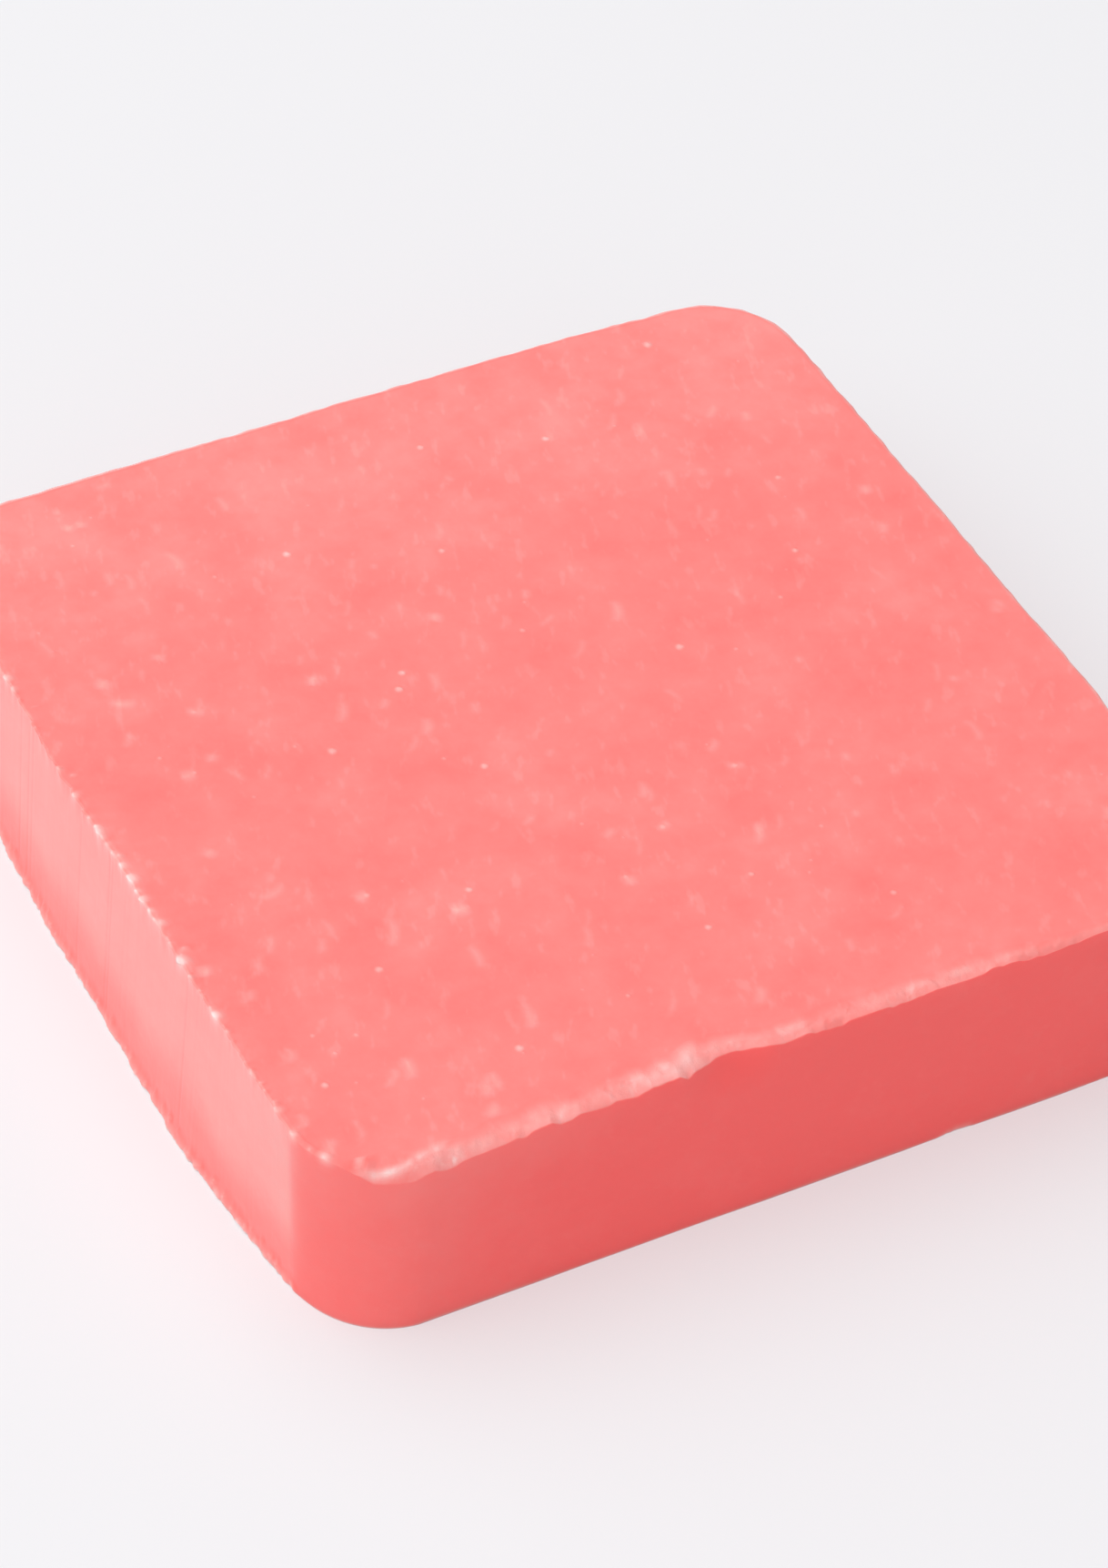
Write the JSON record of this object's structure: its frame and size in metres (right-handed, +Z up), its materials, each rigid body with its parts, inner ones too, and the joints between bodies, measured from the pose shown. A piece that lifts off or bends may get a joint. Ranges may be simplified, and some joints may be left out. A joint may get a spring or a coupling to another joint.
{
  "type": "bar of soap",
  "caption": "Square bar of soap with rounded corners, a knife-trimmed side, a crumbly broken upper edge and small open bubbles in its flat top.",
  "frame": {"origin": "middle of the flat base, under the middle of the bar's box", "axes": "+Z up out of the flat top, which is the short way through the bar; the knife-trimmed side faces -X and the broken front edge faces -Y"},
  "size_m": [0.0762, 0.0755, 0.0171],
  "materials": {
    "soap": "satin"
  },
  "bodies": {
    "root": {"soap_bar": "soap"}
  },
  "joints": []
}
